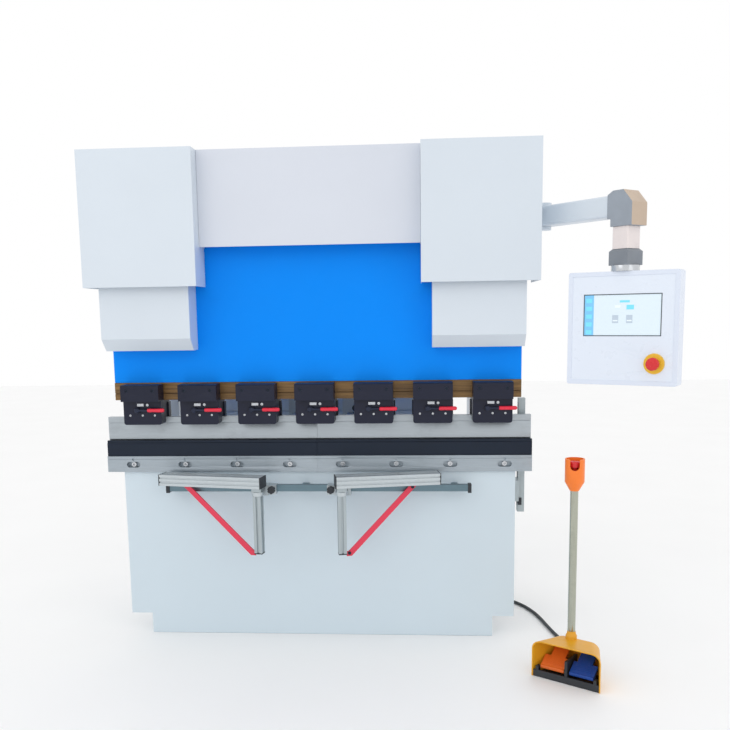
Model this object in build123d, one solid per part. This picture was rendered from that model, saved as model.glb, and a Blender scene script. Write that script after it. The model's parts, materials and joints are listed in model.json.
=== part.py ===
"""Hydraulic press brake, 1600 mm tooling length: every separate piece as its own solid.

Millimetres. +X runs to the operator's right, +Y to the back and +Z up. The origin is on the
floor, under the bending line, at the middle of the machine.
"""
from build123d import *
import math
import os

# ---------------------------------------------------------------- driving dimensions
TOOL_LENGTH = 1600.0
TOOL_JOINT_X = 4.0
PLATE = 50.0
BED_TOP = 642.0
BED_HALF = 741.0
BED_TOE_HALF = 660.0
BED_TOE_HEIGHT = 79.0
RAIL_TOP = 702.0
RAIL_HALF_DEPTH = 36.0
SLOT_PITCH = 200.0
SLOT_COUNT = 8
SLOT_Z = 670.0
DIE_TOP = 762.0
DIE_HALF_DEPTH = 31.0
VEE_WIDTH = 32.0
VEE_ANGLE = 85.0
PUNCH_TIP = 752.0
PUNCH_TOP = 850.0
PUNCH_HALF_DEPTH = 13.0
RAM_BOTTOM = 981.0
RAM_HALF = 759.0
RAM_SHOULDER = 1130.0
RAM_CORE_HALF = 462.0
RAM_TOP = 1520.0
STRIP_BOTTOM = 916.0
STRIP_SPLIT = 940.0
STRIP_HALF_DEPTH = 28.0
CLAMP_COUNT = 7
CLAMP_PITCH = 216.0
CLAMP_CENTRE_X = 4.0
CLAMP_WIDTH = 143.0
FRAME_X = 610.0
FRAME_THICK = 40.0
FRAME_TOP = 1740.0
FRAME_BACK = 500.0
THROAT_BACK = 225.0
THROAT_TOP = 1010.0
CYL_X = 600.0
CYL_R = 85.0
CYL_BORE_R = 65.0
ROD_R = 45.0
CYL_BOTTOM = 1262.0
CYL_TOP = 1600.0
SEAT_BOTTOM = 1290.0
SEAT_TOP = 1340.0
RUN_GAP = 0.05
COVER_IN = 395.0
COVER_OUT = 805.0
COVER_FRONT = -165.0
COVER_BACK = 90.0
COVER_BOTTOM = 1331.0
COVER_TOP = 1806.0
SKIRT_IN = 434.0
SKIRT_OUT = 762.0
SKIRT_FRONT = -128.0
SKIRT_BOTTOM = 1103.0
SKIRT_TOP = 1425.0
CHAMFER = 44.0
MIDDLE_FRONT = -99.0
MIDDLE_BOTTOM = 1470.0
SHEET = 2.0
ARM_Z = 1562.0
ARM_SIDE = 70.0
ARM_PIVOT = (842.0, 36.0)
ELBOW = (1066.0, -250.0)
PANEL_FACE_CENTRE = (1052.0, -280.0, 1164.5)
PANEL_TURN = -28.7
PANEL_W = 362.0
PANEL_H = 373.0
PANEL_DEPTH = 72.0
PEDAL_AT = (864.0, -442.0)
PEDAL_TURN = -33.8
PEDAL_W = 243.0
PEDAL_DEPTH = 118.0
HOOD_TOP = 127.0
HOOD_REAR_W = 138.0
POLE_TOP = 637.0
POLE_R = 13.0
BAR_Z = 590.0
BAR_Y = -80.0
BAR_SIZE = 24.0
CORD_D = 12.5
GAUGE_RAIL_X = 420.0
SCREW_Z = 606.0
SCREW_R = 12.5

# Floor and rise of the pedal cord, from the pedal's gland to the cabinet's gland.
CORD_ROUTE = [
    (876.2, -288.9, 26.0), (914.0, -232.4, 26.0), (924.0, -150.0, 12.0), (912.0, -70.0, 6.5),
    (895.0, 0.0, 6.5), (882.0, 65.0, 6.5), (869.0, 140.0, 6.5), (852.0, 215.0, 6.5), (820.0, 296.0, 6.5),
    (780.0, 352.0, 6.5), (727.0, 388.0, 11.0), (688.0, 404.0, 62.0), (688.0, 404.0, 140.0),
]


# ---------------------------------------------------------------- helpers
def box(x0, x1, y0, y1, z0, z1):
    """Block between two opposite corners."""
    size = (x1 - x0, y1 - y0, z1 - z0)
    return Pos((x0 + x1) / 2, (y0 + y1) / 2, (z0 + z1) / 2) * Box(*size)


def rod_x(y, z, x0, x1, r):
    """Cylinder along X."""
    return Pos((x0 + x1) / 2, y, z) * Rot(0, 90, 0) * Cylinder(r, x1 - x0)


def rod_y(x, z, y0, y1, r):
    """Cylinder along Y."""
    return Pos(x, (y0 + y1) / 2, z) * Rot(90, 0, 0) * Cylinder(r, y1 - y0)


def rod_z(x, y, z0, z1, r):
    """Cylinder along Z."""
    return Pos(x, y, (z0 + z1) / 2) * Cylinder(r, z1 - z0)


def across(x, side, near, far):
    """X limits of a block that lies on one side of x, from near to far."""
    ends = (x + side * near, x + side * far)
    return min(ends), max(ends)


def prism_x(points, x0, x1):
    """Outline in (Y, Z), extruded along X."""
    plane = Plane(origin=(x0, 0, 0), x_dir=(0, 1, 0), z_dir=(1, 0, 0))
    return extrude(plane * make_face(Polyline(*points, close=True)), amount=x1 - x0)


def prism_y(points, y0, y1):
    """Outline in (X, Z), extruded along Y."""
    plane = Plane(origin=(0, y1, 0), x_dir=(1, 0, 0), z_dir=(0, -1, 0))
    return extrude(plane * make_face(Polyline(*points, close=True)), amount=y1 - y0)


def prism_z(points, z0, z1):
    """Outline in (X, Y), extruded along Z."""
    plane = Plane(origin=(0, 0, z0), x_dir=(1, 0, 0), z_dir=(0, 0, 1))
    return extrude(plane * make_face(Polyline(*points, close=True)), amount=z1 - z0)


def bent_tube(points, radii, r):
    """Round bar along straight runs joined by tangent arcs."""
    path = FilletPolyline(*points, radius=radii)
    section = Plane(origin=path @ 0, z_dir=path % 0) * Circle(r)
    return sweep(section, path=path)


def mirrored(shape):
    """The shape's twin on the other side of the machine."""
    return mirror(shape, about=Plane.YZ)


def save(name, *solids):
    """One STEP file for one node."""
    shape = solids[0] if len(solids) == 1 else Compound(children=list(solids))
    export_step(shape, f"parts/{name}.step")


# ---------------------------------------------------------------- frame
def side_frame():
    """Right C-frame: plate with throat, cylinder seat, ram slideway and anchored foot."""
    x0 = FRAME_X - FRAME_THICK / 2
    x1 = FRAME_X + FRAME_THICK / 2
    half = PLATE / 2
    outline = [
        (half, 20), (half, 620), (60, 640), (THROAT_BACK - 30, 640), (THROAT_BACK, 670),
        (THROAT_BACK, THROAT_TOP - 40), (THROAT_BACK - 40, THROAT_TOP), (72, THROAT_TOP),
        (72, 1200), (100, 1240), (100, FRAME_TOP), (330, FRAME_TOP),
        (FRAME_BACK, 1560), (FRAME_BACK, 20),
    ]
    plate = prism_x(outline, x0, x1)
    slideway = box(FRAME_X - 35, FRAME_X + 35, half + 0.3, 74, THROAT_TOP + 12, RAM_SHOULDER - 10)
    seat = box(CYL_X - 118, CYL_X + 118, -105, 180, SEAT_BOTTOM, SEAT_TOP)
    foot = box(FRAME_X - 55, FRAME_X + 49, half + 1, FRAME_BACK, 0, 20)
    body = plate + slideway + seat + foot
    body -= rod_z(CYL_X, 0, SEAT_BOTTOM - 1, SEAT_TOP + 1, CYL_R + 1)
    for y in (90, 440):
        body -= rod_z(FRAME_X - 38, y, -1, 21, 9)
    return body


def bed_plate():
    """Thick front plate of the bed with stepped lower corners."""
    outline = [
        (-BED_TOE_HALF, 0), (BED_TOE_HALF, 0), (BED_TOE_HALF, BED_TOE_HEIGHT),
        (BED_HALF, BED_TOE_HEIGHT), (BED_HALF, BED_TOP), (-BED_HALF, BED_TOP),
        (-BED_HALF, BED_TOE_HEIGHT), (-BED_TOE_HALF, BED_TOE_HEIGHT),
    ]
    return prism_y(outline, -PLATE / 2, PLATE / 2)


def cross_beams():
    """Tie tube over the ram, and the two box beams across the back."""
    inner = FRAME_X - FRAME_THICK / 2
    beams = []
    for y0, y1, z0, z1 in ((104, 164, 1640, 1720), (380, 470, 1180, 1300), (380, 470, 80, 200)):
        outer = box(-inner, inner, y0, y1, z0, z1)
        beams.append(outer - box(-inner, inner, y0 + 8, y1 - 8, z0 + 8, z1 - 8))
    return beams


def die_rail():
    """Two-piece die holder with oval bolt pockets and a clamping lip."""
    half = TOOL_LENGTH / 2
    rail = box(-half, half, -RAIL_HALF_DEPTH, RAIL_HALF_DEPTH, BED_TOP, RAIL_TOP)
    rail -= box(-half, half, -RAIL_HALF_DEPTH, -RAIL_HALF_DEPTH + 2, RAIL_TOP - 12, RAIL_TOP - 10.5)
    for x in slot_centres():
        pocket = rod_y(x - 15, SLOT_Z, -RAIL_HALF_DEPTH, -14, 11)
        pocket += rod_y(x + 15, SLOT_Z, -RAIL_HALF_DEPTH, -14, 11)
        pocket += box(x - 15, x + 15, -RAIL_HALF_DEPTH, -14, SLOT_Z - 11, SLOT_Z + 11)
        rail -= pocket
        rail -= rod_y(x, RAIL_TOP - 12, -RAIL_HALF_DEPTH, -RAIL_HALF_DEPTH + 6, 5)
    left = rail & box(-half, TOOL_JOINT_X - 0.15, -50, 50, 600, 720)
    right = rail & box(TOOL_JOINT_X + 0.15, half, -50, 50, 600, 720)
    return [left, right]


def slot_centres():
    """X of each bolt pocket in the die rail."""
    first = -(SLOT_COUNT - 1) * SLOT_PITCH / 2
    return [first + i * SLOT_PITCH for i in range(SLOT_COUNT)]


def socket_screw(x, z, y_front, head_r, head_length):
    """Socket head seen from the front, with a hexagonal recess."""
    head = rod_y(x, z, y_front, y_front + head_length, head_r)
    recess = extrude(Plane(origin=(x, y_front, z), z_dir=(0, 1, 0)) * RegularPolygon(head_r * 0.5, 6),
                     amount=head_length * 0.6)
    return head - recess


def lower_die():
    """Two die sections with a stepped top edge and the bending vee."""
    depth = VEE_WIDTH / 2 / math.tan(math.radians(VEE_ANGLE / 2))
    outline = [
        (-DIE_HALF_DEPTH, RAIL_TOP), (DIE_HALF_DEPTH, RAIL_TOP), (DIE_HALF_DEPTH, DIE_TOP - 10),
        (DIE_HALF_DEPTH - 3, DIE_TOP - 9), (DIE_HALF_DEPTH - 3, DIE_TOP), (VEE_WIDTH / 2, DIE_TOP),
        (0, DIE_TOP - depth), (-VEE_WIDTH / 2, DIE_TOP), (-DIE_HALF_DEPTH + 3, DIE_TOP),
        (-DIE_HALF_DEPTH + 3, DIE_TOP - 9), (-DIE_HALF_DEPTH, DIE_TOP - 10),
    ]
    half = TOOL_LENGTH / 2
    return [prism_x(outline, -half, TOOL_JOINT_X - 0.15), prism_x(outline, TOOL_JOINT_X + 0.15, half)]


def cylinder_body(x):
    """Hydraulic cylinder, closed at the top, with a gland bore and a square flange."""
    body = rod_z(x, 0, CYL_BOTTOM, CYL_TOP, CYL_R)
    body += box(x - 105, x + 105, -98, 98, SEAT_TOP, SEAT_TOP + 45)
    body += rod_z(x, 0, CYL_TOP, CYL_TOP + 18, 20)
    body -= rod_z(x, 0, CYL_BOTTOM + 36, CYL_TOP - 30, CYL_BORE_R)
    body -= rod_z(x, 0, CYL_BOTTOM - 1, CYL_BOTTOM + 40, ROD_R + RUN_GAP)
    return body


def upper_cover():
    """Right fixed cover box, open below and behind."""
    shell = box(COVER_IN, COVER_OUT, COVER_FRONT, COVER_BACK, COVER_BOTTOM, COVER_TOP)
    shell -= box(COVER_IN + SHEET, COVER_OUT - SHEET, COVER_FRONT + SHEET, COVER_BACK + 1,
                 COVER_BOTTOM - 1, COVER_TOP - SHEET)
    shell -= box(COVER_IN - 1, COVER_IN + SHEET + 1, -32, COVER_BACK + 1, COVER_BOTTOM - 1, 1632)
    return shell


def middle_cover():
    """Middle cover: front sheet with top and side returns."""
    half = COVER_IN - 0.5
    shell = box(-half, half, MIDDLE_FRONT, COVER_BACK, MIDDLE_BOTTOM, COVER_TOP)
    shell -= box(-half + SHEET, half - SHEET, MIDDLE_FRONT + SHEET, COVER_BACK + 1,
                 MIDDLE_BOTTOM - 1, COVER_TOP - SHEET)
    shell -= box(-half - 1, half + 1, -32, COVER_BACK + 1, MIDDLE_BOTTOM - 1, 1632)
    return shell


def support_rail():
    """Square bar across the bed front, on three stand-offs, with end stops."""
    h = BAR_SIZE / 2
    bar = box(-548, 563, BAR_Y - h, BAR_Y + h, BAR_Z - h, BAR_Z + h)
    for x in (-500, -40, 515):
        bar += box(x - 12, x + 12, BAR_Y + h, -PLATE / 2, BAR_Z - 8, BAR_Z + 8)
    stops = [box(x - 6, x + 6, BAR_Y - 16, BAR_Y + 16, BAR_Z - 17, BAR_Z + 14) for x in (-554, 569)]
    return [bar] + stops


def linear_scale():
    """Linear scale behind the tools' right end, on a bracket from the bed, with its plug."""
    profile = box(757, 783, 44, 76, 470, 905)
    profile -= box(756, 760, 50, 62, 490, 890)
    bracket = box(BED_HALF, 757, 0, 70, 520, 600)
    plug = box(759, 772, 38, 44, 498, 524)
    return [profile, bracket, plug]


# ---------------------------------------------------------------- hydraulics and electrics
def oil_tank():
    """Open welded tank between the frames, and its lid with the filler breather."""
    tank = box(-560, 560, 170, 330, 1370, 1690) - box(-554, 554, 176, 324, 1376, 1691)
    lid = box(-566, 566, 166, 334, 1690, 1698)
    lid += rod_z(-420, 250, 1698, 1716, 22) + rod_z(-420, 250, 1716, 1752, 34)
    return [tank, lid]


def pump_motor():
    """Foot-mounted motor with fan cowl and terminal box, and the gear pump on its end."""
    y, z, r = 425, 1396, 72
    motor = rod_x(y, z, -60, 150, r) + rod_x(y, z, 150, 196, r - 4)
    motor += box(-30, 120, y - 55, y + 55, 1300, z)
    motor += box(0, 80, y - 35, y + 35, z, z + 104)
    for i in range(12):
        motor -= rod_x(y, z, -44 + i * 15, -38 + i * 15, r + 1) - rod_x(y, z, -44 + i * 15, -38 + i * 15, r - 5)
    pump = rod_x(y, z, -140, -60, 52) + box(-210, -140, y - 38, y + 38, z - 45, z + 45)
    return [motor, pump]


def hydraulic_lines():
    """Valve manifold on the rear beam, and the rigid pipes up and over to both cylinders."""
    block = box(290, 410, 385, 465, 1300, 1400)
    for x in (320, 380):
        block += box(x - 18, x + 18, 395, 455, 1400, 1470)
    solids = [block]
    for x, start in ((CYL_X, 370), (-CYL_X, 330)):
        route = [(start, 385, 1345), (start, 350, 1345), (start, 350, 1764), (x, 350, 1764),
                 (x, 0, 1764), (x, 0, CYL_TOP + 18)]
        solids.append(bent_tube(route, 27, 9))
    return solids


def electrical_cabinet():
    """Cabinet on the right frame's outer face, open at its door side, with a cord gland below."""
    x0, x1 = FRAME_X + FRAME_THICK / 2, 724
    shell = box(x0, x1, 240, 530, 160, 690)
    shell -= box(x0 + 3, x1 + 1, 243, 527, 163, 687)
    shell += rod_z(688, 404, 140, 160, 14)
    shell += box(x0 + 3, x0 + 40, 280, 490, 260, 600)
    return shell


def cabinet_door():
    """Hinged door over the cabinet's outer side, with its knuckles and a quarter-turn latch."""
    door = box(724.4, 727.4, 240, 528, 160, 690)
    door += box(727.4, 733.4, 256, 274, 400, 440)
    for z in (250, 600):
        door += rod_z(729.4, 533, z - 25, z + 25, 4.0) + box(724.4, 727.4, 527, 533, z - 25, z + 25)
    return door


# ---------------------------------------------------------------- control arm and panel
def arm_bracket():
    """Flange on the cover's side with two lugs and the fixed pivot pin."""
    px, py = ARM_PIVOT
    half = ARM_SIDE / 2
    body = box(COVER_OUT, COVER_OUT + 8, py - 40, py + 40, ARM_Z - 54, ARM_Z + 54)
    for z0 in (ARM_Z - half - 12.5, ARM_Z + half + 0.5):
        body += box(COVER_OUT + 8, px, py - 24, py + 24, z0, z0 + 12) + rod_z(px, py, z0, z0 + 12, 24)
    return body + rod_z(px, py, ARM_Z - half - 12.5, ARM_Z + half + 12.5, 10)


def arm_angle():
    """Heading of the control arm in the XY plane, in degrees."""
    return math.degrees(math.atan2(ELBOW[1] - ARM_PIVOT[1], ELBOW[0] - ARM_PIVOT[0]))


def control_arm():
    """Square tube with its pivot hub."""
    px, py = ARM_PIVOT
    half = ARM_SIDE / 2
    end = math.dist(ARM_PIVOT, ELBOW) - 50
    tube = fillet(box(12, end, -half, half, -half, half).edges().filter_by(Axis.X), 9)
    tube -= box(44, end + 1, -half + 4, half - 4, -half + 4, half - 4)
    tube += rod_z(0, 0, -half, half, 27)
    tube -= rod_z(0, 0, -half - 1, half + 1, 10 + RUN_GAP)
    return Pos(px, py, ARM_Z) * Rot(0, 0, arm_angle()) * tube


def arm_elbow():
    """Mitred elbow housing between the arm and the panel stem."""
    low, high, reach = -67, 48, 50
    outline = [(-reach, low + 26), (-reach + 14, low + 26), (-reach + 14, low), (reach, low), (reach, high - 42),
               (reach - 36, high), (-reach + 22, high), (-reach, high - 12)]
    body = prism_y(outline, -38, 38)
    body -= rod_z(0, 0, low - 1, low + 62, 20 + RUN_GAP)
    return Pos(ELBOW[0], ELBOW[1], ARM_Z) * Rot(0, 0, arm_angle()) * body


def panel_stem():
    """Stem turning in the elbow: spigot, square tube, wider collar and clamp ring on the panel."""
    top = PANEL_FACE_CENTRE[2] + PANEL_H / 2
    tube = fillet(box(-32, 32, -32, 32, 1423, 1494.5).edges().filter_by(Axis.Z), 6)
    collar = box(-38, 38, -38, 38, 1370, 1423)
    collar = chamfer(collar.edges().group_by(Axis.Z)[-1], 8)
    stem = tube + collar + rod_z(0, 0, 1494, 1552, 20) + rod_z(0, 0, top, 1370, 46)
    return Pos(ELBOW[0], ELBOW[1], 0) * Rot(0, 0, arm_angle()) * stem


def on_panel(shape):
    """Place a shape drawn on the panel's front face: X across, Y back, Z up."""
    return Pos(*PANEL_FACE_CENTRE) * Rot(0, 0, PANEL_TURN) * shape


SCREEN = (-125.0, 124.0, -22.0, 110.0)
ESTOP_AT = (108.0, -114.0)


def panel_housing():
    """Control box with a raised border round its inset front plate."""
    w, h = PANEL_W / 2, PANEL_H / 2
    body = box(-w, w, 0, PANEL_DEPTH, -h, h)
    body = fillet(body.edges().filter_by(Axis.Y), 7)
    body = fillet(body.faces().sort_by(Axis.Y)[-1].edges(), 4)
    body -= box(-w + 15, w - 15, -1, 4, -h + 15, h - 15)
    body -= box(-w + 17, w - 17, 3, PANEL_DEPTH - 3, -h + 17, h - 17)
    return on_panel(body)


def panel_face():
    """Inset front plate with the screen window and the emergency stop's hole."""
    w, h = PANEL_W / 2 - 15, PANEL_H / 2 - 15
    x0, x1, z0, z1 = SCREEN
    plate = box(-w, w, 1.5, 4, -h, h) - box(x0, x1, 0, 5, z0, z1)
    x, z = ESTOP_AT
    plate += rod_y(x, z, -2.5, 1.5, 33) + rod_y(x, z, -8, -2.5, 17)
    plate -= rod_y(x, z, -9, 5, 10)
    return on_panel(plate)


def panel_screen():
    """Touch screen set in the front plate's window."""
    x0, x1, z0, z1 = SCREEN
    return on_panel(box(x0, x1, 2.2, 8, z0, z1))


def panel_estop():
    """Mushroom button and its shank."""
    x, z = ESTOP_AT
    head = rod_y(x, z, -30, -14, 21)
    head = fillet(head.edges().group_by(Axis((0, 0, 0), (0, 1, 0)))[0], 6)
    return on_panel(head + rod_y(x, z, -14, 12, 9.5))


# ---------------------------------------------------------------- foot pedal
def on_pedal(shape):
    """Place a shape drawn at the pedal: X across, Y back from its front edge, Z up."""
    return Pos(PEDAL_AT[0], PEDAL_AT[1], 0) * Rot(0, 0, PEDAL_TURN) * shape


POLE_AT = (-20.0, 89.0)
NOTCH_TURN = 24.0
TREADLE_FOOT = (14.0, 34.0)
TREADLE_HEAD = (84.0, 82.0)
GLAND_X = -75.0


def hood_outline(inset, y0, y1):
    """Plan of the pedal narrowing to the rear, moved inwards by inset at both sides."""
    slope = (PEDAL_W - HOOD_REAR_W) / 2 / PEDAL_DEPTH
    near = PEDAL_W / 2 - inset - slope * y0
    far = PEDAL_W / 2 - inset - slope * y1
    return [(-near, y0), (near, y0), (far, y1), (-far, y1)]


def hood_dome(inset, y0, y1, z0, z1, corner, crown):
    """Dome over the pedal's plan with rounded rear corners and crown."""
    dome = prism_z(hood_outline(inset, y0, y1), z0, z1)
    dome = fillet(dome.edges().filter_by(Axis.Z).group_by(Axis.Y)[-1], corner)
    front_free = [e for e in dome.edges().group_by(Axis.Z)[-1] if e.center().Y > y0 + 1]
    return fillet(front_free, crown)


def pedal_base():
    """Base tray inside the hood: divider, raised front lip, hinge bosses and cord gland."""
    floor = prism_z(hood_outline(5, 1, PEDAL_DEPTH - 4.5), 0, 12)
    floor = fillet(floor.edges().filter_by(Axis.Z).group_by(Axis.Y)[-1], 38)
    body = floor + prism_z(hood_outline(5, 1, 6), 11, 24) + box(-5, 5, 4, 88, 11, 76)
    for side in (-1, 1):
        body += box(*across(0, side, 97, 107), 1, 18, 11, 38)
    body += box(GLAND_X - 4, GLAND_X + 15, 62, 78, 11, 38) + rod_y(GLAND_X, 26, 66, PEDAL_DEPTH + 16, 10)
    return on_pedal(body)


def pedal_hood():
    """Domed guard standing on the floor over the treadles, open in front, with the pole boss."""
    t = 4.0
    shell = hood_dome(0, 0, PEDAL_DEPTH, 0, HOOD_TOP, 38, 30)
    shell -= hood_dome(4.4, -1, PEDAL_DEPTH - t, -1, HOOD_TOP - t, 34, 26)
    shell += rod_z(POLE_AT[0], POLE_AT[1], HOOD_TOP - t, HOOD_TOP + 9, 19)
    return on_pedal(shell - rod_y(GLAND_X, 26, 50, PEDAL_DEPTH + 1, 10.3))


def treadle(side):
    """Inclined treadle hinged at its front lower edge, with a narrower tab at its head."""
    (y0, z0), (y1, z1) = TREADLE_FOOT, TREADLE_HEAD
    outline = [(y0, z0 - 3), (y0 - 5, z0 + 1), (y0 - 5, z0 + 8), (y0, z0 + 10), (y1 - 4, z1 + 8), (y1, z1 + 6),
               (y1, z1), (y0 + 6, z0 - 3)]
    x0, x1 = across(0, side, 10, 93)
    plate = prism_x(outline, x0, x1) + rod_x(y0, z0, x0, x1, 4.5)
    plate -= box(*across(0, side, 73, 94), 48, 90, 30, 100) + box(*across(0, side, 9, 22), 48, 90, 30, 100)
    return on_pedal(plate)


def pedal_pole():
    """Tubular pole from the hood's boss up to the stop station."""
    x, y = POLE_AT
    foot = HOOD_TOP + 9
    pole = rod_z(x, y, foot, POLE_TOP, POLE_R) - rod_z(x, y, foot, POLE_TOP - 6, POLE_R - 2)
    return on_pedal(pole)


def pole_guard():
    """Shroud with tapered foot and a round-bottomed notch in front of the stop button."""
    foot = Pos(0, 0, POLE_TOP + 15) * Cone(15, 32, 30)
    wall = rod_z(0, 0, POLE_TOP + 30, POLE_TOP + 107, 32) - rod_z(0, 0, POLE_TOP + 62, POLE_TOP + 108, 28)
    wall -= rod_y(0, POLE_TOP + 86, -40, -20, 15)
    wall -= box(-15, 15, -40, -20, POLE_TOP + 86, POLE_TOP + 108)
    cup = foot + wall - rod_z(0, 0, POLE_TOP + 40, POLE_TOP + 63, 9.1)
    return on_pedal(Pos(POLE_AT[0], POLE_AT[1], 0) * Rot(0, 0, NOTCH_TURN) * cup)


def pole_estop():
    """Mushroom button standing in the shroud."""
    x, y = POLE_AT
    head = rod_z(x, y, POLE_TOP + 80, POLE_TOP + 99, 20)
    head = fillet(head.edges().group_by(Axis.Z)[-1], 8)
    return on_pedal(head + rod_z(x, y, POLE_TOP + 48, POLE_TOP + 80, 9))


def cord_radii(points):
    """Arc radius at each inner point: 0.45 of the shorter run over tan(half the turn)."""
    radii = []
    for a, b, c in zip(points, points[1:], points[2:]):
        run_in = Vector(b) - Vector(a)
        run_out = Vector(c) - Vector(b)
        half_turn = math.radians(run_in.get_angle(run_out)) / 2
        radii.append(0.45 * min(run_in.length, run_out.length) / math.tan(half_turn))
    return radii


def pedal_cord():
    """Cord lying on the floor from the pedal to the cabinet."""
    return bent_tube(CORD_ROUTE, cord_radii(CORD_ROUTE), CORD_D / 2)


# ---------------------------------------------------------------- back gauge
def gauge_base():
    """Two guide beams with profile rails, rear bridge, screw bearings and the servo motor."""
    solids = []
    for s in (-1, 1):
        x = s * GAUGE_RAIL_X
        solids.append(box(x - 25, x + 25, PLATE / 2, 600, 560, 620) + box(x - 10, x + 10, 60, 590, 620, 638))
    bridge = box(-GAUGE_RAIL_X + 25, GAUGE_RAIL_X - 25, 570, 600, 560, 620)
    bridge += box(-40, 40, 570, 600, 620, 640)
    bridge -= rod_y(0, SCREW_Z, 569, 601, SCREW_R + RUN_GAP)
    front = box(-30, 30, PLATE / 2, 50, 575, 640)
    motor = box(-45, 45, 630, 760, SCREW_Z - 45, SCREW_Z + 45) + box(-30, 30, 600, 630, SCREW_Z - 34, SCREW_Z + 34)
    motor -= rod_y(0, SCREW_Z, 599, 622, SCREW_R + 2)
    return solids + [bridge, front, motor]


def gauge_screw():
    """Ball screw between its bearings."""
    return rod_y(0, SCREW_Z, 50.5, 620, SCREW_R)


def gauge_carriage():
    """Slide blocks, uprights, cross beam and the nut bracket round the screw."""
    body = box(-480, 480, 285, 325, 796, 892)
    body -= box(-481, 481, 284, 290, 832, 840)
    for s in (-1, 1):
        x = s * GAUGE_RAIL_X
        body += box(x - 24, x + 24, 262, 348, 640, 664) + box(x - 18, x + 18, 285, 325, 660, 800)
        for side in (-1, 1):
            body += box(x + side * 17 - 6, x + side * 17 + 6, 262, 348, 624, 642)
    body += box(-30, 30, 287, 323, SCREW_Z - 26, 800)
    body -= rod_y(0, SCREW_Z, 286, 324, SCREW_R + RUN_GAP)
    return body


def gauge_finger(x):
    """Stop finger: slide block on the beam, forward arm, stop nose and a clamping knob."""
    body = box(x - 34, x + 34, 258, 284.7, 804, 884)
    body += box(x - 34, x + 34, 258, 318, 892.3, 904) + box(x - 34, x + 34, 258, 284.7, 880, 904)
    body += box(x - 14, x + 14, 130, 258, 806, 830) + box(x - 14, x + 14, 120, 150, 764, 830)
    return body + rod_y(x + 20, 850, 238, 258, 15)


# ---------------------------------------------------------------- ram and upper tools
def ram():
    """Ram plate: full width at the foot, tall core between the cylinders."""
    outline = [
        (-RAM_HALF, RAM_BOTTOM), (RAM_HALF, RAM_BOTTOM), (RAM_HALF, RAM_SHOULDER),
        (RAM_CORE_HALF, RAM_SHOULDER), (RAM_CORE_HALF, RAM_TOP), (-RAM_CORE_HALF, RAM_TOP),
        (-RAM_CORE_HALF, RAM_SHOULDER), (-RAM_HALF, RAM_SHOULDER),
    ]
    return prism_y(outline, -PLATE / 2, PLATE / 2)


def ram_strips():
    """Two adapter strips under the ram, full length."""
    d = STRIP_HALF_DEPTH
    back = PLATE / 2
    upper = box(-RAM_HALF, RAM_HALF, -d, back, STRIP_SPLIT + 1.5, RAM_BOTTOM)
    lower = box(-RAM_HALF, RAM_HALF, -d, back, STRIP_BOTTOM, STRIP_SPLIT - 1)
    key = box(-RAM_HALF, RAM_HALF, -d + 4, back - 4, STRIP_SPLIT - 1, STRIP_SPLIT + 1.5)
    return upper + lower + key


def punch():
    """Two straight punch sections: ground tip, body, groove and tang."""
    d = PUNCH_HALF_DEPTH
    shoulder = PUNCH_TIP + d / math.tan(math.radians(VEE_ANGLE / 2))
    outline = [
        (0, PUNCH_TIP), (d, shoulder), (d, PUNCH_TOP), (-d, PUNCH_TOP), (-d, 829.5),
        (-d + 2.5, 829.5), (-d + 2.5, 827), (-d, 827), (-d, shoulder),
    ]
    half = TOOL_LENGTH / 2 - 3
    return [prism_x(outline, -half, TOOL_JOINT_X + 0.5), prism_x(outline, TOOL_JOINT_X + 0.8, half)]


def clamp_centres():
    """X of each quick clamp."""
    first = CLAMP_CENTRE_X - (CLAMP_COUNT - 1) * CLAMP_PITCH / 2
    return [first + i * CLAMP_PITCH for i in range(CLAMP_COUNT)]


CLAMP_SCREWS = ((-49, 956, 6), (49, 956, 6), (19, 901, 5), (-47, 862, 4), (0, 862, 4), (46, 862, 4))


def clamp_front(z):
    """Front face of a clamp at height z."""
    return -95.0 if z > STRIP_BOTTOM else -68.0


def clamp_body():
    """Quick clamp at X = 0: hooked upper block, front plate and rear jaw round the tang."""
    w = CLAMP_WIDTH / 2
    d = PUNCH_HALF_DEPTH + 0.3
    upper = prism_x([(-28, 916), (-95, 916), (-95, 972), (-90, 977), (-28, 977)], -w, w)
    plate = box(-w, w, -68, -d, 827, 916)
    plate = fillet(plate.edges().filter_by(Axis.Y).group_by(Axis.Z)[0], 9)
    web = box(-w, w, -28, 40, PUNCH_TOP + 0.3, 915.8)
    jaw = box(-w - 5, w + 5, d, 40, 836, 905)
    body = upper + plate + web + jaw
    for x, z, r in CLAMP_SCREWS:
        body -= rod_y(x, z, clamp_front(z) - 1, clamp_front(z) + 9, r + 0.4)
    return body


def clamp_bolts():
    """Socket screws of one clamp at X = 0."""
    return [socket_screw(x, z, clamp_front(z) + 1, r, 8) for x, z, r in CLAMP_SCREWS]


LEVER_PIVOT_X = -18.0
LEVER_Z = 882.0


def clamp_lever(x):
    """Clamping lever: hub, flat shank and round grip pointing to the right."""
    hub = rod_y(x + LEVER_PIVOT_X, LEVER_Z, -84, -68.3, 10)
    shank = box(x + LEVER_PIVOT_X, x + 26, -82, -74, LEVER_Z - 5, LEVER_Z + 5)
    grip = rod_x(-78, LEVER_Z, x + 22, x + 87, 7.5)
    grip = fillet(grip.edges().group_by(Axis.X)[-1], 5)
    return hub + shank + grip


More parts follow.
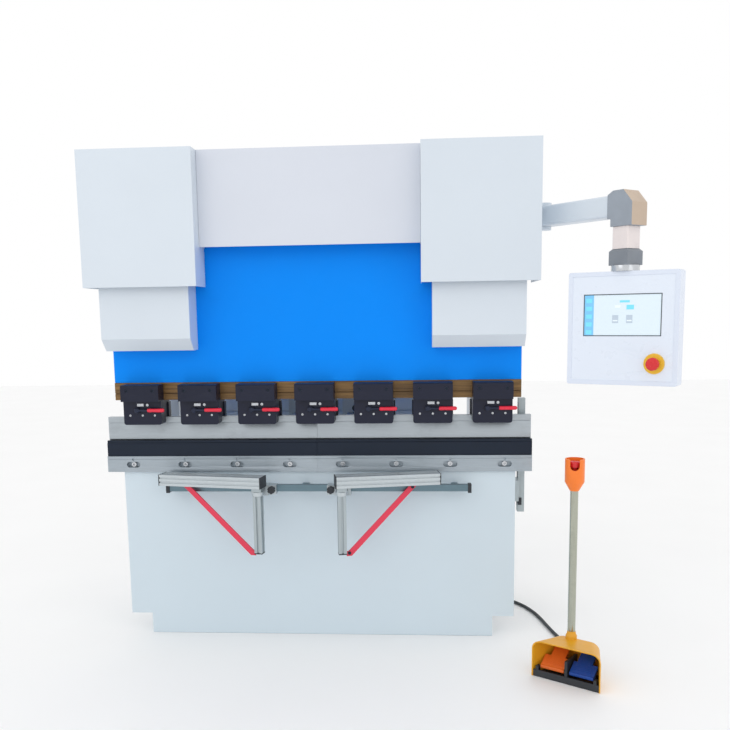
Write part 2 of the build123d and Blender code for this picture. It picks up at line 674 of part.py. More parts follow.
def lower_cover():
    """Right skirt riding on the ram, open at the top so that it slides up into the fixed cover."""
    back = -PLATE / 2 - 0.2
    front, top = SKIRT_FRONT, SKIRT_TOP
    outer = prism_x([(back, SKIRT_BOTTOM), (front + CHAMFER, SKIRT_BOTTOM), (front, SKIRT_BOTTOM + CHAMFER),
                     (front, top), (back, top)], SKIRT_IN, SKIRT_OUT)
    t = SHEET
    inner = prism_x([(back + 1, SKIRT_BOTTOM + t), (front + CHAMFER + 1, SKIRT_BOTTOM + t),
                     (front + t, SKIRT_BOTTOM + CHAMFER + 1), (front + t, top + 1), (back + 1, top + 1)],
                    SKIRT_IN + t, SKIRT_OUT - t)
    return outer - inner


def piston_rod(x):
    """Rod with its foot flange on the ram shoulder and the piston at its top."""
    rod = rod_z(x, 0, RAM_SHOULDER, CYL_BOTTOM + 60, ROD_R)
    rod += rod_z(x, 0, RAM_SHOULDER, RAM_SHOULDER + 20, 62)
    return rod + rod_z(x, 0, CYL_BOTTOM + 40, CYL_BOTTOM + 84, CYL_BORE_R - RUN_GAP)


# ---------------------------------------------------------------- front sheet supports
SUPPORTS = {
    "left": {"x": -200.0, "side": -1, "back": 21.0, "length": 399.0, "lean": 10.1, "foot": 361.0,
             "z": 607.0, "reach": 278.0},
    "right": {"x": 105.0, "side": 1, "back": 23.0, "length": 383.0, "lean": 11.4, "foot": 360.0,
              "z": 609.0, "reach": 262.0},
}
PIVOT_Y = -162.0
KNOB_OFFSET = 43.0


def support_carriage(s):
    """Block gripping the bar, with a lock ear, a forward bracket and the swivel bore."""
    h = BAR_SIZE / 2 + 0.3
    x = s["x"]
    ear = across(x, -s["side"], 30, 58)
    body = box(x - 30, x + 30, -118, -62, 568, s["z"] - 1) + box(*ear, -112, -62, 570, 604)
    body -= box(x - 60, x + 60, BAR_Y - h, BAR_Y + h, BAR_Z - h, BAR_Z + h)
    body -= box(x - 60, x + 60, BAR_Y, -60, BAR_Z - 9, BAR_Z + 9)
    body += box(x - 20, x + 20, PIVOT_Y, -118, 577, 592) + rod_z(x, PIVOT_Y, 577, 592, 20)
    return body - rod_z(x, PIVOT_Y, 576, 593, 8 + RUN_GAP)


def support_knob(s):
    """Star knob on the lock ear."""
    x = s["x"] - s["side"] * KNOB_OFFSET
    knob = rod_y(x, BAR_Z, -134, -118, 14) + rod_y(x, BAR_Z, -118, -112.3, 8)
    for i in range(6):
        turn = math.radians(60 * i)
        knob -= rod_y(x + 16 * math.cos(turn), BAR_Z + 16 * math.sin(turn), -135, -117, 4)
    return knob


def on_support(s, shape):
    """Turn a shape drawn along +X from the swivel into the support's own heading."""
    turn = s["lean"] if s["side"] > 0 else 180 - s["lean"]
    return Pos(s["x"], PIVOT_Y, 0) * Rot(0, 0, turn) * shape


def support_post(s):
    """Upright with its swivel pin under the arm, and the flat diagonal brace."""
    z, foot, reach = s["z"], s["foot"], s["reach"]
    post = box(-15, 15, -15, 15, foot, 576.7) + box(-18, 18, -18, 18, 592.5, z)
    post += rod_z(0, 0, 570, 600, 8)
    brace = prism_y([(15, foot - 8), (32, foot - 8), (reach + 16, z), (reach - 4, z), (15, foot + 10)], -4, 4)
    return [on_support(s, post), on_support(s, brace)]


def support_arm(s):
    """Aluminium profile carrying the sheet, grooved in front, behind and on top."""
    z, start, end = s["z"], -s["back"], s["length"] - s["back"]
    body = box(start, end, -32, 32, z, z + 41)
    for y in (-33, 28):
        for groove in (z + 10, z + 26):
            body -= box(start - 1, end + 1, y, y + 5, groove, groove + 6)
    body -= box(start - 1, end + 1, -4, 4, z + 36, z + 42)
    return on_support(s, body)


# ---------------------------------------------------------------- build
def build_frame():
    right = side_frame()
    save("side_frame_right", right)
    save("side_frame_left", mirrored(right))
    save("bed_plate", bed_plate())
    save("cross_beams", *cross_beams())
    save("cylinder_bodies", cylinder_body(-CYL_X), cylinder_body(CYL_X))
    save("die_rail", *die_rail())
    save("rail_bolts", *[socket_screw(x, SLOT_Z, -30, 9, 15.5) for x in slot_centres()])
    save("lower_die", *lower_die())
    cover = upper_cover()
    save("upper_covers", mirrored(cover), cover)
    save("middle_cover", middle_cover())
    save("support_rail", *support_rail())
    save("linear_scale", *linear_scale())


def build_services():
    save("oil_tank", *oil_tank())
    save("pump_motor", *pump_motor())
    save("hydraulic_lines", *hydraulic_lines())
    save("electrical_cabinet", electrical_cabinet())
    save("cabinet_door", cabinet_door())


def build_control():
    save("arm_bracket", arm_bracket())
    save("control_arm", control_arm())
    save("arm_elbow", arm_elbow())
    save("panel_stem", panel_stem())
    save("panel_housing", panel_housing())
    save("panel_face", panel_face())
    save("panel_screen", panel_screen())
    save("panel_estop", panel_estop())


def build_pedal():
    save("pedal_base", pedal_base())
    save("pedal_hood", pedal_hood())
    save("treadle_left", treadle(-1))
    save("treadle_right", treadle(1))
    save("pedal_pole", pedal_pole())
    save("pole_guard", pole_guard())
    save("pole_estop", pole_estop())
    save("pedal_cord", pedal_cord())


def build_gauge():
    save("gauge_base", *gauge_base())
    save("gauge_screw", gauge_screw())
    save("gauge_carriage", gauge_carriage())
    save("gauge_finger_left", gauge_finger(-110))
    save("gauge_finger_right", gauge_finger(110))


def build_ram():
    save("ram", ram())
    save("ram_strips", ram_strips())
    save("punch", *punch())
    bodies, bolts = [], []
    for number, x in enumerate(clamp_centres(), start=1):
        bodies.append(Pos(x, 0, 0) * clamp_body())
        bolts.extend(Pos(x, 0, 0) * screw for screw in clamp_bolts())
        save(f"clamp_lever_{number}", clamp_lever(x))
    save("clamp_bodies", *bodies)
    save("clamp_bolts", *bolts)
    skirt = lower_cover()
    save("lower_covers", mirrored(skirt), skirt)
    save("piston_rods", piston_rod(-CYL_X), piston_rod(CYL_X))


def build_supports():
    for name, s in SUPPORTS.items():
        save(f"support_carriage_{name}", support_carriage(s))
        save(f"support_knob_{name}", support_knob(s))
        save(f"support_post_{name}", *support_post(s))
        save(f"support_arm_{name}", support_arm(s))


os.makedirs("parts", exist_ok=True)
build_frame()
build_services()
build_control()
build_pedal()
build_gauge()
build_ram()
build_supports()
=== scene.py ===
"""Looks for the hydraulic press brake: materials, finer pieces, cord, light and camera."""
import json
import math

import bmesh
import bpy
from mathutils import Matrix, Vector

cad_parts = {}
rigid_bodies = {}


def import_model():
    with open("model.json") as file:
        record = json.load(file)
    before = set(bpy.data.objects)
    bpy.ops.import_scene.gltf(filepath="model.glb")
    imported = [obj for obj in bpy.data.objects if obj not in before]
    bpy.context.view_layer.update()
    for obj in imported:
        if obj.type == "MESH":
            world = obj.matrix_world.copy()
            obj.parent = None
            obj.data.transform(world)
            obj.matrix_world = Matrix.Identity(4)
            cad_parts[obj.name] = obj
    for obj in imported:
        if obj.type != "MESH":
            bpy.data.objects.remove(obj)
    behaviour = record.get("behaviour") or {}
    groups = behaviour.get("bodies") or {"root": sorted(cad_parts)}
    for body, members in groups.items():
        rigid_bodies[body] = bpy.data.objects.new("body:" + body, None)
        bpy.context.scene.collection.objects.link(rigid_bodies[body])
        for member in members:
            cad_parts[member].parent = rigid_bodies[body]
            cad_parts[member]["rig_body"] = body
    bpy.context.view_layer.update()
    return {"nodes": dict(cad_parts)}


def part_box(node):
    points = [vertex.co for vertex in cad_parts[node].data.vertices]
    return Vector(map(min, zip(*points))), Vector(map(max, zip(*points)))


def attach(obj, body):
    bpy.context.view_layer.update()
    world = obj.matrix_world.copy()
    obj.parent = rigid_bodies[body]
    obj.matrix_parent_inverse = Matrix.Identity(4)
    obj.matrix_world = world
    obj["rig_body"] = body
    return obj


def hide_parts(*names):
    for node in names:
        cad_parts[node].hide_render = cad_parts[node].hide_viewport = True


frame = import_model()
NODES = frame["nodes"]
MM = 0.001
CORD_DIAMETER = 0.0125
CLAMP_LEVERS = 7


# ---------------------------------------------------------------- material building blocks
def srgb(r, g, b):
    """Linear colour from 0-255 display values."""
    def lin(v):
        v /= 255.0
        return v / 12.92 if v <= 0.04045 else ((v + 0.055) / 1.055) ** 2.4
    return (lin(r), lin(g), lin(b), 1.0)


def new_material(name):
    """Empty node material; returns the material, its tree and its shader."""
    mat = bpy.data.materials.new(name)
    mat.use_nodes = True
    tree = mat.node_tree
    return mat, tree, tree.nodes["Principled BSDF"]


def noise(tree, scale, detail=4.0, stretch=(1.0, 1.0, 1.0), rough=0.5):
    """Noise on object coordinates, optionally stretched along an axis."""
    coord = tree.nodes.new("ShaderNodeTexCoord")
    mapping = tree.nodes.new("ShaderNodeMapping")
    mapping.inputs["Scale"].default_value = stretch
    tex = tree.nodes.new("ShaderNodeTexNoise")
    tex.inputs["Scale"].default_value = scale
    tex.inputs["Detail"].default_value = detail
    tex.inputs["Roughness"].default_value = rough
    tree.links.new(coord.outputs["Object"], mapping.inputs["Vector"])
    tree.links.new(mapping.outputs["Vector"], tex.inputs["Vector"])
    return tex.outputs["Fac"]


def spread(tree, value, low, high, lo_in=0.3, hi_in=0.7):
    """Map a 0-1 value onto a range."""
    node = tree.nodes.new("ShaderNodeMapRange")
    node.inputs["From Min"].default_value = lo_in
    node.inputs["From Max"].default_value = hi_in
    node.inputs["To Min"].default_value = low
    node.inputs["To Max"].default_value = high
    tree.links.new(value, node.inputs["Value"])
    return node.outputs["Result"]


def mix(tree, factor, first, second):
    """Colour mix; each colour is a tuple or a socket."""
    node = tree.nodes.new("ShaderNodeMix")
    node.data_type = "RGBA"
    tree.links.new(factor, node.inputs["Factor"])
    for socket, value in (("A", first), ("B", second)):
        target = [i for i in node.inputs if i.name == socket and i.type == "RGBA"][0]
        if isinstance(value, tuple):
            target.default_value = value
        else:
            tree.links.new(value, target)
    return [o for o in node.outputs if o.type == "RGBA"][0]


def bump(tree, shader, height, depth, strength=1.0):
    """Bump of a real depth in metres."""
    node = tree.nodes.new("ShaderNodeBump")
    node.inputs["Strength"].default_value = strength
    node.inputs["Distance"].default_value = depth
    tree.links.new(height, node.inputs["Height"])
    tree.links.new(node.outputs["Normal"], shader.inputs["Normal"])


def shade(colour, factor):
    """The same hue, darker or lighter."""
    return tuple(min(1.0, c * factor) for c in colour[:3]) + (1.0,)


def painted(name, colour, rough=0.38, patch=0.05, coat=0.15, dirt=0.0, gloss=0.5):
    """Powder coat: faint mottling, orange peel, optional rub marks."""
    mat, tree, bsdf = new_material(name)
    soft = spread(tree, noise(tree, 2.2, 5.0), 0.0, 1.0)
    base = mix(tree, soft, shade(colour, 1 - patch), shade(colour, 1 + patch))
    if dirt:
        marks = spread(tree, noise(tree, 9.0, 8.0, rough=0.7), 0.0, dirt, 0.58, 0.75)
        base = mix(tree, marks, base, shade(colour, 0.45))
    tree.links.new(base, bsdf.inputs["Base Color"])
    tree.links.new(spread(tree, noise(tree, 30.0), rough - 0.05, rough + 0.07), bsdf.inputs["Roughness"])
    bsdf.inputs["Coat Weight"].default_value = coat
    bsdf.inputs["Specular IOR Level"].default_value = gloss
    bsdf.inputs["Coat Roughness"].default_value = 0.25
    bump(tree, bsdf, noise(tree, 520.0, 2.0), 0.00012, 0.5)
    return mat


def metal(name, colour, grain=(1.0, 60.0, 60.0), rough=0.32, smudge=0.25, scratch=0.00008, metallic=1.0):
    """Ground or drawn metal: grain along one axis, darker smudges, uneven gloss."""
    mat, tree, bsdf = new_material(name)
    lines = noise(tree, 12.0, 6.0, grain, 0.6)
    streaks = spread(tree, lines, 0.0, 1.0, 0.25, 0.75)
    base = mix(tree, streaks, shade(colour, 0.88), shade(colour, 1.08))
    stains = spread(tree, noise(tree, 11.0, 6.0, (1.0, 1.0, 1.6), 0.65), 0.0, smudge, 0.52, 0.72)
    base = mix(tree, stains, base, shade(colour, 0.62))
    tree.links.new(base, bsdf.inputs["Base Color"])
    bsdf.inputs["Metallic"].default_value = metallic
    tree.links.new(spread(tree, lines, rough - 0.07, rough + 0.1), bsdf.inputs["Roughness"])
    bump(tree, bsdf, lines, scratch, 0.6)
    return mat


def plastic(name, colour, rough=0.42, grain=900.0, depth=0.0001, patch=0.05):
    """Moulded plastic with a fine grain."""
    mat, tree, bsdf = new_material(name)
    soft = spread(tree, noise(tree, 14.0, 4.0), 0.0, 1.0)
    tree.links.new(mix(tree, soft, shade(colour, 1 - patch), shade(colour, 1 + patch)), bsdf.inputs["Base Color"])
    tree.links.new(spread(tree, noise(tree, 60.0), rough - 0.06, rough + 0.08), bsdf.inputs["Roughness"])
    bump(tree, bsdf, noise(tree, grain, 2.0), depth, 0.4)
    return mat


def oiled(name, light, dark):
    """Brown oiled strip: long streaks along the tool, drips and glossy film."""
    mat, tree, bsdf = new_material(name)
    streak = spread(tree, noise(tree, 5.0, 8.0, (1.0, 8.0, 26.0), 0.65), 0.0, 1.0, 0.3, 0.7)
    base = mix(tree, streak, dark, light)
    blot = spread(tree, noise(tree, 7.0, 5.0), 0.0, 0.6, 0.5, 0.75)
    tree.links.new(mix(tree, blot, base, shade(dark, 0.7)), bsdf.inputs["Base Color"])
    bsdf.inputs["Metallic"].default_value = 0.35
    tree.links.new(spread(tree, streak, 0.25, 0.5, 0.0, 1.0), bsdf.inputs["Roughness"])
    bump(tree, bsdf, streak, 0.00015, 0.5)
    return mat


def glow(name, colour, strength):
    """Screen graphics: lit colour under a gloss cover, with a faint fine mottling."""
    mat, tree, bsdf = new_material(name)
    tint = mix(tree, spread(tree, noise(tree, 900.0, 1.0), 0.0, 1.0), shade(colour, 0.96), shade(colour, 1.03))
    tree.links.new(tint, bsdf.inputs["Base Color"])
    tree.links.new(tint, bsdf.inputs["Emission Color"])
    bsdf.inputs["Emission Strength"].default_value = strength
    bsdf.inputs["Roughness"].default_value = 0.12
    return mat


M = {
    "bed": painted("bed_white", srgb(206, 220, 229), 0.42, 0.02),
    "cover": painted("cover_white", srgb(213, 222, 231), 0.40, 0.02),
    "middle": painted("middle_white", srgb(213, 218, 228), 0.40, 0.02),
    "frame": painted("frame_white", srgb(206, 214, 220), 0.45, 0.04),
    "blue": painted("ram_blue", srgb(0, 140, 250), 0.5, 0.03, 0.0, gloss=0.12),
    "ground": metal("punch_steel", srgb(176, 184, 190), (1.0, 50.0, 50.0), 0.36, 0.35, 0.00005, 0.75),
    "rail": metal("rail_steel", srgb(168, 178, 186), (1.0, 40.0, 40.0), 0.36, 0.3, 0.00005, 0.75),
    "die": metal("die_black", srgb(8, 26, 46), (1.0, 30.0, 30.0), 0.38, 0.4, 0.00004, 0.35),
    "strip": oiled("oiled_strip", srgb(150, 116, 70), srgb(84, 62, 36)),
    "clamp": painted("clamp_navy", srgb(14, 20, 44), 0.42, 0.12, 0.05, gloss=0.35),
    "screw": metal("bright_screw", srgb(205, 208, 212), (1.0, 1.0, 1.0), 0.22, 0.2),
    "dark_screw": metal("dark_screw", srgb(52, 58, 70), (1.0, 1.0, 1.0), 0.35, 0.3),
    "grip": plastic("grip_red", srgb(226, 40, 66), 0.32),
    "shank": metal("lever_shank", srgb(38, 44, 64), (1.0, 8.0, 8.0), 0.4, 0.3, metallic=0.5),
    "alu": metal("profile_alu", srgb(196, 204, 208), (1.0, 45.0, 45.0), 0.4, 0.12, 0.00003, 0.7),
    "alu_post": metal("post_alu", srgb(176, 186, 190), (45.0, 45.0, 1.0), 0.4, 0.15, 0.00003, 0.7),
    "bar": metal("drawn_bar", srgb(110, 132, 142), (1.0, 40.0, 40.0), 0.35, 0.2),
    "brace": painted("brace_red", srgb(222, 44, 76), 0.32, 0.05, 0.3),
    "grey": plastic("elbow_grey", srgb(150, 158, 168), 0.45),
    "stem": painted("stem_light", srgb(233, 223, 221), 0.35, 0.02),
    "panel": painted("panel_light", srgb(222, 230, 244), 0.36, 0.02),
    "plate": painted("panel_plate", srgb(228, 236, 248), 0.30, 0.015),
    "stop": plastic("stop_red", srgb(214, 38, 44), 0.25),
    "yellow": plastic("ring_yellow", srgb(240, 190, 40), 0.35),
    "hood": plastic("hood_yellow", srgb(226, 164, 34), 0.34),
    "black": plastic("base_black", srgb(42, 46, 52), 0.5),
    "orange": plastic("treadle_orange", srgb(222, 104, 34), 0.4),
    "treadle": plastic("treadle_blue", srgb(14, 66, 150), 0.4),
    "tan": plastic("elbow_tan", srgb(196, 176, 156), 0.4),
    "collar": plastic("collar_grey", srgb(128, 134, 142), 0.4),
    "bezel": plastic("bezel_dark", srgb(70, 78, 88), 0.4),
    "pole": metal("pole_plate", srgb(178, 180, 166), (14.0, 14.0, 1.0), 0.14, 0.35),
    "guard": plastic("guard_orange", srgb(250, 128, 40), 0.35),
    "cord": plastic("cord_rubber", srgb(52, 56, 60), 0.55, 400.0, 0.0002),
    "tank": painted("tank_grey", srgb(120, 132, 140), 0.42, 0.05),
    "motor": painted("motor_grey", srgb(104, 114, 122), 0.45, 0.08, dirt=0.2),
    "pipe": metal("zinc_pipe", srgb(186, 190, 188), (20.0, 20.0, 20.0), 0.3, 0.2),
    "cabinet": painted("cabinet_grey", srgb(214, 216, 214), 0.5, 0.03),
    "label": plastic("label_white", srgb(226, 230, 236), 0.4),
    "screen": glow("screen_base", srgb(214, 228, 236), 0.18),
    "ui_blue": glow("ui_blue", srgb(120, 190, 232), 0.2),
    "ui_cyan": glow("ui_cyan", srgb(120, 214, 236), 0.2),
    "ui_pale": glow("ui_pale", srgb(228, 238, 244), 0.2),
    "ui_grey": glow("ui_grey", srgb(180, 194, 208), 0.2),
    "floor": painted("floor_pale", srgb(250, 250, 250), 0.6, 0.01, 0.0),
}


# ---------------------------------------------------------------- piece building blocks
def finish_mesh(name, bm, mat, body, smooth=35.0):
    """Turn a bmesh into a piece that rides on a body."""
    mesh = bpy.data.meshes.new(name)
    bmesh.ops.recalc_face_normals(bm, faces=bm.faces)
    bm.to_mesh(mesh)
    bm.free()
    for one in mat if isinstance(mat, (list, tuple)) else [mat]:
        mesh.materials.append(one)
    for face in mesh.polygons:
        face.use_smooth = True
    mesh.set_sharp_from_angle(angle=math.radians(smooth))
    piece = bpy.data.objects.new(name, mesh)
    bpy.context.scene.collection.objects.link(piece)
    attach(piece, body)
    return piece


def bevelled(piece, width, segments=2, angle=40.0):
    """Rounded edges by modifier."""
    mod = piece.modifiers.new("edges", "BEVEL")
    mod.width = width
    mod.segments = segments
    mod.limit_method = "ANGLE"
    mod.angle_limit = math.radians(angle)
    mod.harden_normals = True
    return piece


def edged(node, mat, width, pick=None):
    """The CAD node again with its sharp edges rounded; pick chooses a material slot for each face."""
    bm = bmesh.new()
    bm.from_mesh(NODES[node].data)
    bmesh.ops.remove_doubles(bm, verts=bm.verts, dist=1e-6)
    bmesh.ops.dissolve_limit(bm, angle_limit=math.radians(0.4), verts=bm.verts, edges=bm.edges)
    if pick:
        for face in bm.faces:
            face.material_index = pick(face.calc_center_median(), face.normal)
    body = NODES[node]["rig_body"]
    piece = finish_mesh(node + "_edged", bm, mat, body)
    bevelled(piece, width)
    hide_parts(node)
    return piece


def block(bm, low, high, turn=None):
    """Add a box between two corners to a bmesh."""
    low, high = Vector(low), Vector(high)
    made = bmesh.ops.create_cube(bm, size=1.0)["verts"]
    bmesh.ops.scale(bm, verts=made, vec=high - low)
    bmesh.ops.translate(bm, verts=made, vec=(high + low) / 2)
    if turn is not None:
        bmesh.ops.transform(bm, verts=made, matrix=turn)
    return made


def lathe(bm, profile, matrix, steps=48, slot=0):
    """Add a turned shape: profile of (radius, height) from bottom to top."""
    rings = []
    for r, h in profile:
        rings.append([bm.verts.new(matrix @ Vector((r * math.cos(a), r * math.sin(a), h)))
                      for a in (2 * math.pi * i / steps for i in range(steps))])
    for low, high in zip(rings, rings[1:]):
        for i in range(steps):
            j = (i + 1) % steps
            bm.faces.new((low[i], low[j], high[j], high[i])).material_index = slot
    bm.faces.new(list(reversed(rings[0]))).material_index = slot
    bm.faces.new(rings[-1]).material_index = slot


def axis_matrix(origin, direction):
    """Matrix that carries local +Z onto a direction at an origin."""
    turn = Vector(direction).to_track_quat("Z", "Y").to_matrix().to_4x4()
    return Matrix.Translation(Vector(origin)) @ turn


for node_name, material, edge in (
    ("bed_plate", "bed", 0.0015), ("upper_covers", "cover", 0.0006), ("middle_cover", "middle", 0.0006),
    ("lower_covers", "cover", 0.0006), ("ram", "blue", 0.0015), ("die_rail", "rail", 0.0008),
    ("lower_die", "die", 0.0008), ("punch", "ground", 0.0004), ("ram_strips", "strip", 0.001),
    ("clamp_bodies", "clamp", 0.0012), ("side_frame_left", "frame", 0.002), ("side_frame_right", "frame", 0.002),
    ("cross_beams", "frame", 0.002), ("gauge_carriage", "cover", 0.001), ("gauge_base", "cover", 0.001),
    ("control_arm", "cover", 0.001), ("panel_housing", "panel", 0.0008), ("panel_face", "plate", 0.0003),
    ("pedal_hood", "hood", 0.0012), ("pedal_base", "black", 0.0012), ("treadle_left", "orange", 0.0015),
    ("treadle_right", "treadle", 0.0015), ("pole_guard", "guard", 0.0008), ("oil_tank", "tank", 0.002),
    ("electrical_cabinet", "cabinet", 0.001), ("cabinet_door", "cabinet", 0.001),
    ("linear_scale", "alu_post", 0.0008), ("support_rail", "bar", 0.0008), ("rail_bolts", "screw", 0.0005),
    ("support_carriage_left", "alu", 0.0008), ("support_carriage_right", "alu", 0.0008),
    ("support_arm_left", "alu", 0.0006), ("support_arm_right", "alu", 0.0006),
    ("support_knob_left", "black", 0.0008), ("support_knob_right", "black", 0.0008),
):
    edged(node_name, M[material], edge)

edged("clamp_bolts", [M["screw"], M["dark_screw"]], 0.0005, lambda at, out: int(at.z > 0.93))
edged("arm_elbow", [M["grey"], M["tan"]], 0.002, lambda at, out: int(out.x > 0.3 and out.y < 0.6))
edged("panel_stem", [M["stem"], M["collar"], M["screw"]], 0.0012, lambda at, out: (at.z < 1.424) + (at.z < 1.369))

PLAIN = {
    "cylinder_bodies": "motor", "pump_motor": "motor", "hydraulic_lines": "pipe", "arm_bracket": "cover",
    "panel_screen": "screen", "panel_estop": "stop", "pedal_pole": "pole", "pole_estop": "stop",
    "gauge_screw": "screw", "gauge_finger_left": "alu", "gauge_finger_right": "alu", "piston_rods": "screw",
}
for node_name, material in PLAIN.items():
    NODES[node_name].data.materials.clear()
    NODES[node_name].data.materials.append(M[material])


# ---------------------------------------------------------------- clamps
def lever(number):
    """Clamp lever: turned hub, tapering shank and swelling red grip."""
    node = f"clamp_lever_{number}"
    low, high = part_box(node)
    y_mid = -0.078
    z = (low.z + high.z) / 2
    x0, x1 = low.x + 0.010, high.x
    bm = bmesh.new()
    lathe(bm, [(0.0085, 0.0), (0.010, 0.0015), (0.010, 0.013), (0.007, 0.0155)],
          axis_matrix((x0, -0.0685, z), (0, -1, 0)), 32)
    shank = axis_matrix((x0, y_mid, z), (1, 0, 0))
    lathe(bm, [(0.0045, 0.0), (0.0052, 0.02), (0.0046, 0.046)], shank, 20)
    grip = [(0.0048, 0.040), (0.0066, 0.0415), (0.0072, 0.050), (0.0066, 0.062), (0.0070, 0.078),
            (0.0074, 0.092), (0.0070, 0.100), (0.0052, 0.1035), (0.0018, x1 - x0)]
    lathe(bm, grip, shank, 24, 1)
    piece = finish_mesh(f"lever_{number}_shape", bm, [M["shank"], M["grip"]], f"lever_{number}")
    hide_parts(node)


def clamp_label(number, centre):
    """Small plain pad beside the clamp's middle screw."""
    bm = bmesh.new()
    block(bm, (centre - 0.019, -0.0695, 0.8965), (centre + 0.006, -0.068, 0.9065))
    bevelled(finish_mesh(f"clamp_pad_{number}", bm, M["label"], "ram"), 0.0006)


for index in range(1, CLAMP_LEVERS + 1):
    lever(index)
    clamp_label(index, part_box(f"clamp_lever_{index}")[0].x + 0.028)


# ---------------------------------------------------------------- supports
def extrude(bm, outline, low, high, axis, turn, slot=0):
    """Add a flat outline pushed along Y or Z between two distances."""
    if axis == "Y":
        ends = [[turn @ Vector((u * MM, d * MM, v * MM)) for u, v in outline] for d in (low, high)]
    else:
        ends = [[turn @ Vector((u * MM, v * MM, d * MM)) for u, v in outline] for d in (low, high)]
    rings = [[bm.verts.new(p) for p in ring] for ring in ends]
    for ring in rings:
        bm.faces.new(ring).material_index = slot
    for i in range(len(outline)):
        j = (i + 1) % len(outline)
        bm.faces.new((rings[0][i], rings[0][j], rings[1][j], rings[1][i])).material_index = slot


def slotted(half, mouth, depth):
    """Square profile outline with a slot in the middle of each side, in millimetres."""
    quarter = [(-half, -half), (-mouth, -half), (-mouth, -half + depth), (mouth, -half + depth), (mouth, -half)]
    points = []
    for k in range(4):
        c, n = (1, 0, -1, 0)[k], (0, 1, 0, -1)[k]
        points += [(x * c - y * n, x * n + y * c) for x, y in quarter]
    return points


def support(side, x, turn_deg, foot, reach, z):
    """Slotted post with an end cap, its swivel pin and head block, and the red brace with its bolts."""
    turn = Matrix.Translation((x * MM, -0.162, 0)) @ Matrix.Rotation(math.radians(turn_deg), 4, "Z")
    node, body = f"support_post_{side}", f"support_{side}"
    bm = bmesh.new()
    extrude(bm, slotted(15, 4, 5), foot + 4, 576.7, "Z", turn)
    extrude(bm, [(-18, -18), (18, -18), (18, 18), (-18, 18)], 592.5, z, "Z", turn)
    lathe(bm, [(0.008, 0.570), (0.008, 0.600)], turn, 24)
    extrude(bm, [(-15, -15), (15, -15), (15, 15), (-15, 15)], foot, foot + 4, "Z", turn, 1)
    posted = bevelled(finish_mesh(node + "_profile", bm, [M["alu_post"], M["black"]], body), 0.0005)
    bm = bmesh.new()
    outline = [(15, foot - 8), (34, foot - 8), (reach + 16, z - 3), (reach + 16, z), (reach - 8, z),
               (22, foot + 10), (15, foot + 10)]
    extrude(bm, outline, -4, 3, "Y", turn)
    for u, v in ((25, foot + 4), (reach - 2, z - 9)):
        at = turn @ Matrix.Translation((u * MM, -0.003, v * MM)) @ Matrix.Rotation(math.radians(90), 4, "X")
        lathe(bm, [(0.0058, 0.0), (0.0058, 0.006), (0.0046, 0.0075)], at, 20, 1)
    braced = bevelled(finish_mesh(node + "_brace", bm, [M["brace"], M["dark_screw"]], body), 0.0008)
    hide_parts(node)
    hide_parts(node)
    start, end = (-21, 378) if side == "left" else (-23, 360)
    bm = bmesh.new()
    for u0, u1 in ((start - 0.4, start + 3), (end - 3, end + 0.4)):
        block(bm, (u0 * MM, -0.0323, (z - 0.3) * MM), (u1 * MM, 0.0323, (z + 41.3) * MM), turn)
    bevelled(finish_mesh(f"support_caps_{side}", bm, M["black"], body), 0.0006)


support("left", -200, 169.9, 361, 278, 607)
support("right", 105, 11.4, 360, 262, 609)


# ---------------------------------------------------------------- bar, scale and gauge
def small_blocks(name, mat, body, corners, width=0.0006):
    """Several boxes in one piece, given in millimetres."""
    bm = bmesh.new()
    for low, high in corners:
        block(bm, [v * MM for v in low], [v * MM for v in high])
    return bevelled(finish_mesh(name, bm, mat, body), width)


small_blocks("bar_end_stops", M["black"], "machine", [
    ((x - 6.4, -96.4, 572.6), (x + 6.4, -63.6, 604.4)) for x in (-554, 569)])
small_blocks("scale_window", M["clamp"], "machine", [((756.6, 47, 492), (758, 73, 888))])
small_blocks("scale_plug", M["black"], "machine", [((758.6, 37.6, 497.6), (772.4, 44.4, 524.4))])
for side in ("left", "right"):
    low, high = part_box(f"gauge_finger_{side}")
    bm = bmesh.new()
    lathe(bm, [(0.0150, 0.0), (0.0156, 0.002), (0.0156, 0.018), (0.0140, 0.0202)],
          axis_matrix(((low.x + high.x) / 2 + 0.020, 0.258, 0.850), (0, -1, 0)), 32)
    finish_mesh(f"gauge_knob_{side}", bm, M["black"], f"finger_{side}")


# ---------------------------------------------------------------- panel
PANEL = Matrix.Translation((1.052, -0.280, 1.1645)) @ Matrix.Rotation(math.radians(-28.7), 4, "Z")


def panel_tile(name, mat, x0, x1, z0, z1, front=1.9, back=2.4):
    """Thin tile on the panel face, in millimetres from its centre."""
    bm = bmesh.new()
    block(bm, (x0 * MM, front * MM, z0 * MM), (x1 * MM, back * MM, z1 * MM), PANEL)
    return finish_mesh(name, bm, mat, "panel")


